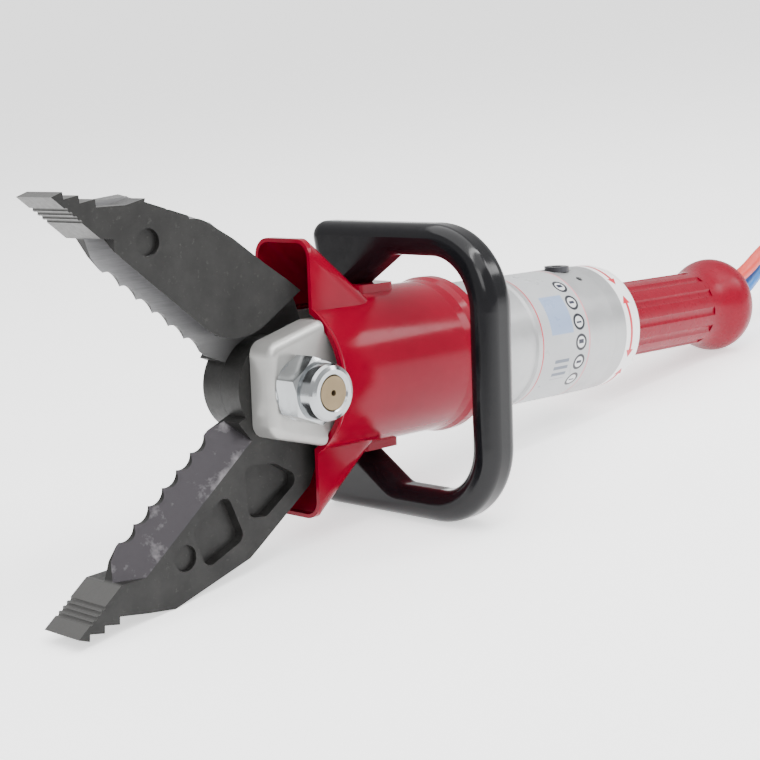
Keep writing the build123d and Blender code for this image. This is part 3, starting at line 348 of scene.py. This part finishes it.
def label_finish():
    """A pale label with a red front line, a panel, and round pictograms down its rear."""
    made, tree, shader, point, _ = blank("label_face", specular=0.4)
    x, angle = around(tree, point)
    colour = mix(tree, noise(tree, point, 30.0), (0.36, 0.37, 0.38), (0.44, 0.45, 0.46))
    panel = times(tree, between(tree, x, *PANEL_X, 0.4), between(tree, angle, *PANEL_ANGLE, 0.5))
    colour = mix(tree, panel, colour, (0.24, 0.31, 0.46))
    bars = times(tree, between(tree, x, *BARS_X, 0.3), between(tree, angle, *BARS_ANGLE, 0.5),
                 fade(tree, math_node(tree, "PINGPONG", angle, 3.2), 1.4, 1.8))
    colour = mix(tree, bars, colour, (0.12, 0.14, 0.18))
    for number, middle in enumerate(PICTOGRAM_ANGLES):
        along = math_node(tree, "ADD", x, -PICTOGRAM_X)
        across_label = math_node(tree, "MULTIPLY", math_node(tree, "SUBTRACT", angle, middle),
                                 MM_PER_DEGREE)
        apart = math_node(tree, "SQRT", math_node(tree, "ADD", times(tree, along, along),
                                                  times(tree, across_label, across_label)))
        colour = mix(tree, fade(tree, apart, 6.9, 7.3, 1, 0), colour, (0.008, 0.009, 0.015))
        colour = mix(tree, fade(tree, apart, 4.6, 5.0, 1, 0), colour, (0.6, 0.61, 0.62))
        figure = times(tree, between(tree, along, -3.2, 3.2, 0.2),
                       between(tree, across_label, -1.2, 2.4 - number % 3, 0.2))
        colour = mix(tree, figure, colour, (0.01, 0.012, 0.03))
    colour = mix(tree, fade(tree, x, -260.2, -259.8), colour, (0.5, 0.01, 0.03))
    colour = mix(tree, fade(tree, x, -318.8, -318.4, 1, 0), colour, (0.68, 0.25, 0.28))
    tree.links.new(colour, shader.inputs["Base Color"])
    tree.links.new(fade(tree, noise(tree, point, 80.0), 0.3, 0.7, 0.26, 0.4), shader.inputs["Roughness"])
    bump(tree, shader, noise(tree, point, 700.0), 0.00001)
    return made


def band_finish():
    """A silver ring whose rear strip is white, with red double-headed arrows round it."""
    made, tree, shader, point, _ = blank("band_white", specular=0.4)
    x, angle = around(tree, point)
    white = fade(tree, x, *WHITE_FROM, 1, 0)
    colour = mix(tree, noise(tree, point, 60.0, 4.0), (0.34, 0.345, 0.35), (0.42, 0.425, 0.43))
    colour = mix(tree, white, colour, (0.82, 0.82, 0.82))
    turn = math_node(tree, "ABSOLUTE", math_node(
        tree, "WRAP", math_node(tree, "SUBTRACT", angle, ARROW_MIDDLE), ARROW_PITCH_HALF,
        -ARROW_PITCH_HALF))
    off = math_node(tree, "ABSOLUTE", math_node(tree, "ADD", x, -ARROW_X))
    shaft = times(tree, fade(tree, off, 1.4, 1.7, 1, 0), fade(tree, turn, 23.5, 24, 1, 0))
    room = math_node(tree, "SUBTRACT", fade(tree, turn, 22, 30, 4.8, 0), off)
    head = times(tree, fade(tree, room, 0, 0.25), fade(tree, turn, 21.7, 22))
    colour = mix(tree, math_node(tree, "MAXIMUM", shaft, head), colour, (0.52, 0.01, 0.03))
    tree.links.new(colour, shader.inputs["Base Color"])
    tree.links.new(fade(tree, white, 0, 1, 0.5, 0), shader.inputs["Metallic"])
    tree.links.new(fade(tree, noise(tree, point, 90.0), 0.3, 0.7, 0.28, 0.4), shader.inputs["Roughness"])
    bump(tree, shader, noise(tree, point, 900.0, 2.0), 0.00001)
    return made


finishes = {
    "blade_steel": blade_finish(),
    "bronze": simple("bronze", (0.55, 0.36, 0.16), metallic=1.0),
    "bolt_steel": simple("bolt_steel", (0.2, 0.15, 0.085), metallic=0.6),
    "nut_zinc": simple("nut_zinc", (0.36, 0.375, 0.385), metallic=1.0, rough=(0.14, 0.24)),
    "yoke_silver": simple("yoke_silver", (0.37, 0.367, 0.355), metallic=0.55, rough=(0.3, 0.4)),
    "link_steel": simple("link_steel", (0.26, 0.27, 0.28), metallic=1.0),
    "rod_chrome": simple("rod_chrome", (0.8, 0.8, 0.82), metallic=1.0, rough=(0.06, 0.12)),
    "seal": simple("seal", (0.03, 0.06, 0.1)),
    "barrel_silver": simple("barrel_silver", (0.4, 0.405, 0.41), metallic=0.5, rough=(0.3, 0.4)),
    "label_face": label_finish(),
    "band_white": band_finish(),
    "guard_red": simple("guard_red", (0.185, 0.0002, 0.012), rough=(0.12, 0.18), specular=0.14,
                        relief=0.000008),
    "grip_red": simple("grip_red", (0.185, 0.0004, 0.012), rough=(0.24, 0.34), specular=0.18,
                       relief=0.000008),
    "handle_black": simple("handle_black", (0.004, 0.004, 0.005), rough=(0.12, 0.18), specular=0.26,
                           relief=0.000008),
    "screw_black": simple("screw_black", (0.05, 0.05, 0.055), metallic=0.9),
    "cover_black": simple("cover_black", (0.02, 0.02, 0.02)),
    "hose_coral": simple("hose_coral", (0.6, 0.045, 0.03), variation=0.06),
    "hose_blue": simple("hose_blue", (0.02, 0.15, 0.45), variation=0.06),
    "coupler_steel": simple("coupler_steel", (0.5, 0.5, 0.51), metallic=1.0),
    "floor": simple("floor", (0.96, 0.96, 0.96), variation=0.01, scale=3.0, rough=(0.5, 0.6)),
}

for part in frame["record"]["subparts"]:
    node = nodes[part["node"]]
    node.data.materials.clear()
    node.data.materials.append(finishes[part["material_slot"]])
for name, hose in hoses.items():
    hose.data.materials.append(finishes["hose_coral" if name == "pressure" else "hose_blue"])
# the floor glows a little, as a lit studio sweep does
floor_shader = finishes["floor"].node_tree.nodes["Principled BSDF"]
floor_shader.inputs["Emission Color"].default_value = (1, 1, 1, 1)
floor_shader.inputs["Emission Strength"].default_value = 1.1
floor_mesh.materials.append(finishes["floor"])

bpy.context.view_layer.update()
